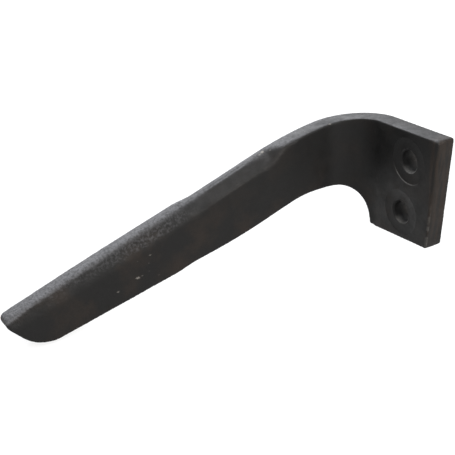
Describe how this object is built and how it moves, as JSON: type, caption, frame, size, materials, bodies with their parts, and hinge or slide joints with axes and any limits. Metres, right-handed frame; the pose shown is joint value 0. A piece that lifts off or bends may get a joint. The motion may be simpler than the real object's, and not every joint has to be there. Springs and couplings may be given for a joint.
{
  "type": "power harrow tine",
  "caption": "Forged knife tine for a power harrow: a thick bolting head with spot-faced holes, bent square into a long leaning blade with a bevelled upper edge.",
  "frame": {"origin": "midway between the two bolt holes, on the head's flat outer face, which seats on the rotor's holder", "axes": "+Y out of the seating face, along the bolts; +Z along the line through the bolt holes, towards the blade's upper edge; +X towards the head's free end; the blade runs towards -Y"},
  "size_m": [0.1134, 0.3125, 0.1318],
  "materials": {
    "black_paint": "satin"
  },
  "bodies": {
    "root": {"tine": "black_paint"}
  },
  "joints": []
}
